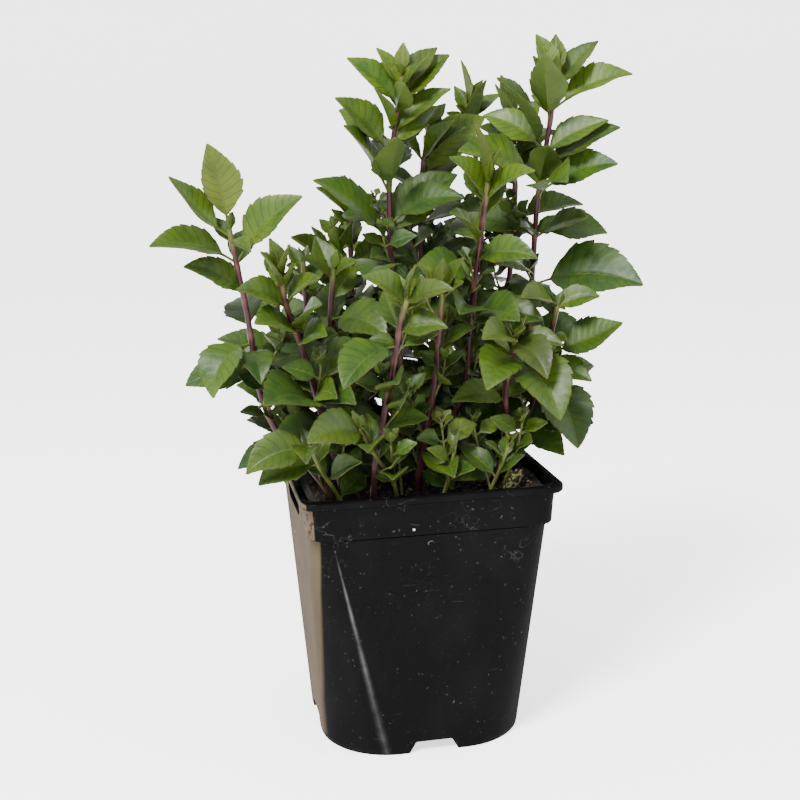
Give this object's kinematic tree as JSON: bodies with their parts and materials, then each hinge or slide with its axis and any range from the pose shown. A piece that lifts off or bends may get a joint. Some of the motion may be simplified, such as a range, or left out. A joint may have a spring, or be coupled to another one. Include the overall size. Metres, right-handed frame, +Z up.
{
  "type": "potted mint plant",
  "caption": "Bushy mint plant with purple square stems and toothed leaves, growing in a square black plastic nursery pot.",
  "frame": {"origin": "middle of the pot's underside, on the surface that the pot stands on", "axes": "+Z up; the pot's sides are parallel to X and Y, and the slots in its band face +X and -X"},
  "size_m": [0.2091, 0.1441, 0.3001],
  "materials": {
    "pot_plastic": "satin, dusty",
    "potting_soil": "rough, damp",
    "mint_green": "satin"
  },
  "bodies": {
    "root": {"pot": "pot_plastic", "soil": "potting_soil", "stem_left_tall": "mint_green", "stem_left_front": "mint_green", "stem_left_middle": "mint_green", "stem_back_left": "mint_green", "stem_centre_tall": "mint_green", "stem_centre_back": "mint_green", "stem_front": "mint_green", "stem_right_front": "mint_green", "stem_right_tall": "mint_green", "stem_right_low": "mint_green", "stem_front_right": "mint_green", "stem_back_right_tall": "mint_green", "stem_back_right_inner": "mint_green", "stem_back_far_left": "mint_green", "stem_front_middle": "mint_green", "stem_back_edge_left": "mint_green", "stem_back_edge": "mint_green", "stem_left_inner": "mint_green", "stem_back_corner": "mint_green", "shoot_front_left": "mint_green", "shoot_front": "mint_green", "shoot_front_centre": "mint_green", "shoot_front_right": "mint_green", "shoot_left": "mint_green", "shoot_right": "mint_green", "shoot_back": "mint_green"}
  },
  "joints": []
}
